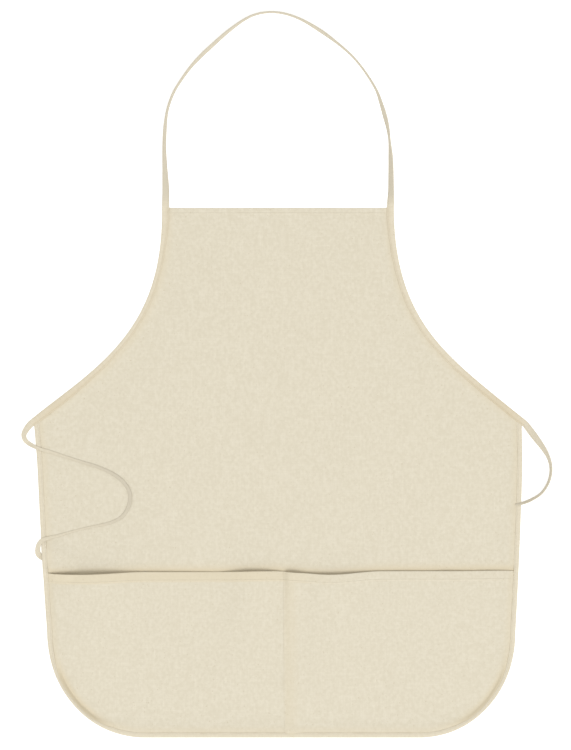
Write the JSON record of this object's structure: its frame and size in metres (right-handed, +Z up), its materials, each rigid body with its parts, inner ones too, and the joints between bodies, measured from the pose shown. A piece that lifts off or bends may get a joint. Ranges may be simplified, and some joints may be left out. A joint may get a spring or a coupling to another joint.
{
  "type": "bib apron",
  "caption": "Canvas bib apron laid flat, with bound edges, a tape neck loop, waist ties and a wide divided pocket across the skirt.",
  "frame": {"origin": "on the surface the apron lies on, under the middle of the box round the apron and its neck loop, free ties left out", "axes": "+X to the viewer's right across the front, +Y up the apron toward the neck loop, +Z up out of the front"},
  "size_m": [0.6113, 0.836, 0.0141],
  "materials": {
    "canvas": "undyed plain-weave cotton canvas, matt",
    "tape": "undyed folded cotton tape, matt"
  },
  "bodies": {
    "root": {"body_panel": "canvas", "pocket_left_side": "canvas", "pocket_left_mouth": "canvas", "pocket_left_inner": "canvas", "pocket_right_inner": "canvas", "pocket_right_mouth": "canvas", "pocket_right_side": "canvas", "left_armhole_binding": "tape", "right_armhole_binding": "tape", "skirt_binding": "tape", "neck_loop": "tape", "left_tie": "tape", "right_tie": "tape"}
  },
  "joints": []
}
